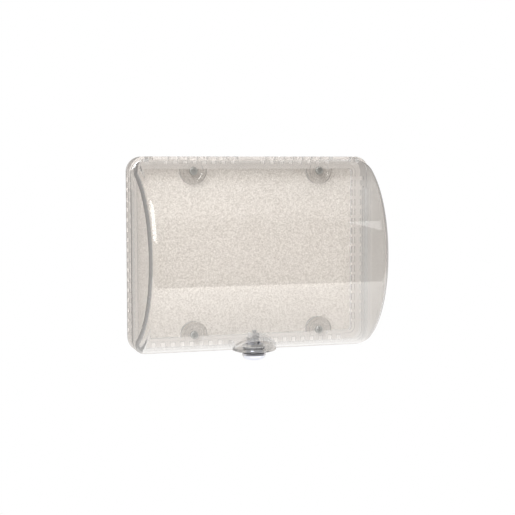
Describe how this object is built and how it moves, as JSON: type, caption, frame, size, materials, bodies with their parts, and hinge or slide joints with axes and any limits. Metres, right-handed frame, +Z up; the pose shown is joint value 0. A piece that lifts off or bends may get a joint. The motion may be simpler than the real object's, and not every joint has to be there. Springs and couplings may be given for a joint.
{
  "type": "thermostat lock box",
  "caption": "Clear wall guard with air vents and an arched cover that swings up on a top hinge and locks at the bottom with a cam lock, for fitting over a room thermostat.",
  "frame": {"origin": "middle of the frame's outline on the wall plane", "axes": "+X to the right along the wall, seen from the room; +Y into the wall; +Z up"},
  "size_m": [0.232, 0.102, 0.1894],
  "materials": {
    "frame_clear": "clear polycarbonate, glossy",
    "cover_clear": "clear polycarbonate, glossy",
    "screw_steel": "zinc-plated steel",
    "gasket_rubber": "matte",
    "lock_chrome": "polished chrome plate",
    "plug_chrome": "polished nickel plate",
    "zinc_steel": "zinc-plated steel",
    "nut_steel": "bright plated steel",
    "wafer_brass": "stamped, plain",
    "spring_steel": "drawn wire"
  },
  "bodies": {
    "frame": {"base_frame": "frame_clear", "keeper": "frame_clear", "wall_screws": "screw_steel"},
    "cover": {"cover": "cover_clear", "lock_body": "lock_chrome", "lock_gasket": "gasket_rubber", "lock_washer": "zinc_steel", "lock_nut": "lock_chrome"},
    "plug": {"lock_plug": "plug_chrome", "stop_washer": "zinc_steel", "cam": "zinc_steel", "cam_spring_washer": "zinc_steel", "cam_nut": "nut_steel", "wafer_spring_1": "spring_steel", "wafer_spring_2": "spring_steel", "wafer_spring_3": "spring_steel", "wafer_spring_4": "spring_steel", "wafer_spring_5": "spring_steel"},
    "wafers": {"wafer_1": "wafer_brass", "wafer_2": "wafer_brass", "wafer_3": "wafer_brass", "wafer_4": "wafer_brass", "wafer_5": "wafer_brass"}
  },
  "joints": [
    {"name": "cover_hinge", "type": "hinge", "parent": "frame", "child": "cover", "pos_m": [0, -0.0214, 0.0866], "axis": [-1, 0, 0], "range_deg": [0, 100]},
    {"name": "lock_turn", "type": "hinge", "parent": "cover", "child": "plug", "pos_m": [0, -0.021, -0.085], "axis": [0, 0, -1], "range_deg": [0, 90]},
    {"name": "wafer_slide", "type": "slide", "parent": "plug", "child": "wafers", "axis": [1, 0, 0], "range_m": [0, 0.0007]}
  ]
}
